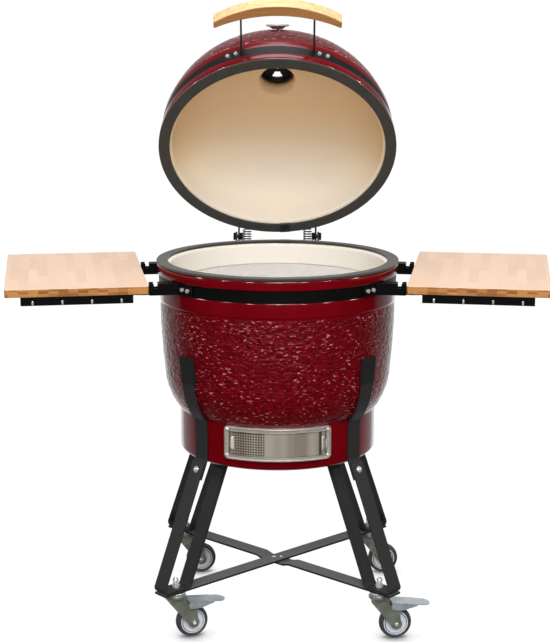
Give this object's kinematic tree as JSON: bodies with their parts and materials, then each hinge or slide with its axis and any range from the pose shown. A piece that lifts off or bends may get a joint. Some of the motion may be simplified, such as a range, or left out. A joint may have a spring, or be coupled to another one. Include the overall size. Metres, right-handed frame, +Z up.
{
  "type": "kamado ceramic grill",
  "caption": "Egg-shaped ceramic grill with a hinged dome lid, curved wooden handle, folding side tables, sliding draft door and a flat-bar stand on swivel casters",
  "frame": {"origin": "on the floor, straight under the axis of the ceramic bowl", "axes": "+Z is up and is the longest extent with the lid open; -Y is the front, where the handle, thermometer and draft door are; +Y is the hinge side; +X is to the right of someone who faces the front from outside"},
  "size_m": [1.3234, 0.7199, 1.4616],
  "materials": {
    "glazed_shell": "deep red pebbled gloss glaze outside, smooth on the rings",
    "fire_ceramic": "unglazed refractory ceramic, matte cream",
    "felt": "charcoal heat-proof felt",
    "black_steel": "black powder coat, satin",
    "bright_fasteners": "bright plated steel",
    "spring_steel": "dark drawn wire",
    "stainless": "brushed stainless steel",
    "cast_iron": "black cast iron",
    "bamboo": "laminated bamboo, clear satin varnish",
    "window_glass": "clear",
    "pad_rubber": "black rubber sleeve",
    "zinc_plate": "zinc plated pressed steel",
    "wheel_plastic": "pale grey nylon",
    "tyre_rubber": "dark grey rubber tread"
  },
  "bodies": {
    "base": {"base_band": "black_steel", "base_band_bolts": "bright_fasteners", "base_gasket": "felt", "base_shell": "glazed_shell", "brace_lower": "black_steel", "brace_upper": "black_steel", "caster_stems": "zinc_plate", "charcoal_grate": "cast_iron", "eye_nuts": "zinc_plate", "fire_ring": "fire_ceramic", "firebox": "fire_ceramic", "hinge_bracket_base": "black_steel", "hinge_pins": "black_steel", "legs_front": "black_steel", "legs_rear": "black_steel", "stand_fasteners": "bright_fasteners", "support_ring": "black_steel", "table_brackets_left": "black_steel", "table_brackets_right": "black_steel", "table_pins": "black_steel", "upright_pads": "pad_rubber", "uprights": "black_steel", "vent_frame": "stainless", "vent_frame_screws": "bright_fasteners"},
    "lid": {"lid_shell": "glazed_shell", "lid_gasket": "felt", "lid_band": "black_steel", "lid_band_bolts": "bright_fasteners", "hinge_bracket_lid": "black_steel", "handle_brackets": "black_steel", "handle": "bamboo", "thermometer_case": "stainless", "thermometer_glass": "window_glass", "chimney_base": "cast_iron", "damper_pivot": "bright_fasteners", "hinge_springs": "spring_steel"},
    "damper": {"damper_disc": "cast_iron"},
    "grate": {"cooking_grate": "stainless"},
    "vent_screen_slide": {"vent_screen": "stainless"},
    "vent_door_slide": {"vent_door": "stainless"},
    "left_table": {"table_board_left": "bamboo", "table_arms_left": "black_steel", "tool_rail_left": "black_steel"},
    "right_table": {"table_board_right": "bamboo", "table_arms_right": "black_steel", "tool_rail_right": "black_steel"},
    "caster_front_left": {"caster_fork_front_left": "zinc_plate"},
    "wheel_front_left": {"wheel_core_front_left": "wheel_plastic", "tyre_front_left": "tyre_rubber"},
    "pedal_front_left": {"brake_pedal_front_left": "zinc_plate"},
    "caster_front_right": {"caster_fork_front_right": "zinc_plate"},
    "wheel_front_right": {"wheel_core_front_right": "wheel_plastic", "tyre_front_right": "tyre_rubber"},
    "pedal_front_right": {"brake_pedal_front_right": "zinc_plate"},
    "caster_rear_left": {"caster_fork_rear_left": "zinc_plate"},
    "wheel_rear_left": {"wheel_core_rear_left": "wheel_plastic", "tyre_rear_left": "tyre_rubber"},
    "caster_rear_right": {"caster_fork_rear_right": "zinc_plate"},
    "wheel_rear_right": {"wheel_core_rear_right": "wheel_plastic", "tyre_rear_right": "tyre_rubber"}
  },
  "joints": [
    {"name": "lid_hinge", "type": "hinge", "parent": "base", "child": "lid", "pos_m": [0, 0.305, 0.868], "axis": [-1, 0, 0], "range_deg": [-51.4, 0], "stiffness_Nm_per_rad": 40, "springref_deg": 54.43, "deforming": ["hinge_springs"]},
    {"name": "damper_turn", "type": "hinge", "parent": "lid", "child": "damper", "pos_m": [0, 0.3505, 1.29459], "axis": [0, 0.7815, 0.6239], "range_deg": [0, 60]},
    {"name": "cooking_grate_lift", "type": "slide", "parent": "base", "child": "grate", "axis": [0, 0, 1], "range_m": [0, 0.08]},
    {"name": "vent_screen_slide", "type": "hinge", "parent": "base", "child": "vent_screen_slide", "pos_m": [0, 0, 0.4725], "axis": [0, 0, -1], "range_deg": [-16, 0]},
    {"name": "vent_door_slide", "type": "hinge", "parent": "base", "child": "vent_door_slide", "pos_m": [0, 0, 0.4725], "axis": [0, 0, -1], "range_deg": [0, 16]},
    {"name": "left_table_fold", "type": "hinge", "parent": "base", "child": "left_table", "pos_m": [-0.30594, -0.03183, 0.814], "axis": [0.1495, -0.9888, 0], "range_deg": [0, 90]},
    {"name": "right_table_fold", "type": "hinge", "parent": "base", "child": "right_table", "pos_m": [0.30594, -0.03183, 0.814], "axis": [0.1495, 0.9888, 0], "range_deg": [0, 90]},
    {"name": "front_left_swivel", "type": "hinge", "parent": "base", "child": "caster_front_left", "pos_m": [-0.23632, -0.21278, 0.108], "axis": [0, 0, 1], "continuous": true},
    {"name": "front_left_wheel_spin", "type": "hinge", "parent": "caster_front_left", "child": "wheel_front_left", "pos_m": [-0.20109, -0.19855, 0.0381], "axis": [-0.3746, 0.9272, 0], "continuous": true},
    {"name": "front_left_brake", "type": "hinge", "parent": "caster_front_left", "child": "pedal_front_left", "pos_m": [-0.20665, -0.2008, 0.08], "axis": [0.3746, -0.9272, 0], "range_deg": [0, 14]},
    {"name": "front_right_swivel", "type": "hinge", "parent": "base", "child": "caster_front_right", "pos_m": [0.23632, -0.21278, 0.108], "axis": [0, 0, 1], "continuous": true},
    {"name": "front_right_wheel_spin", "type": "hinge", "parent": "caster_front_right", "child": "wheel_front_right", "pos_m": [0.27395, -0.2075, 0.0381], "axis": [-0.1392, 0.9903, 0], "continuous": true},
    {"name": "front_right_brake", "type": "hinge", "parent": "caster_front_right", "child": "pedal_front_right", "pos_m": [0.26801, -0.20833, 0.08], "axis": [0.1392, -0.9903, 0], "range_deg": [0, 14]},
    {"name": "rear_left_swivel", "type": "hinge", "parent": "base", "child": "caster_rear_left", "pos_m": [-0.23632, 0.21278, 0.108], "axis": [0, 0, 1], "continuous": true},
    {"name": "rear_left_wheel_spin", "type": "hinge", "parent": "caster_rear_left", "child": "wheel_rear_left", "pos_m": [-0.19853, 0.21676, 0.0381], "axis": [-0.1045, 0.9945, 0], "continuous": true},
    {"name": "rear_right_swivel", "type": "hinge", "parent": "base", "child": "caster_rear_right", "pos_m": [0.23632, 0.21278, 0.108], "axis": [0, 0, 1], "continuous": true},
    {"name": "rear_right_wheel_spin", "type": "hinge", "parent": "caster_rear_right", "child": "wheel_rear_right", "pos_m": [0.27423, 0.21543, 0.0381], "axis": [-0.0698, 0.9976, 0], "continuous": true}
  ]
}
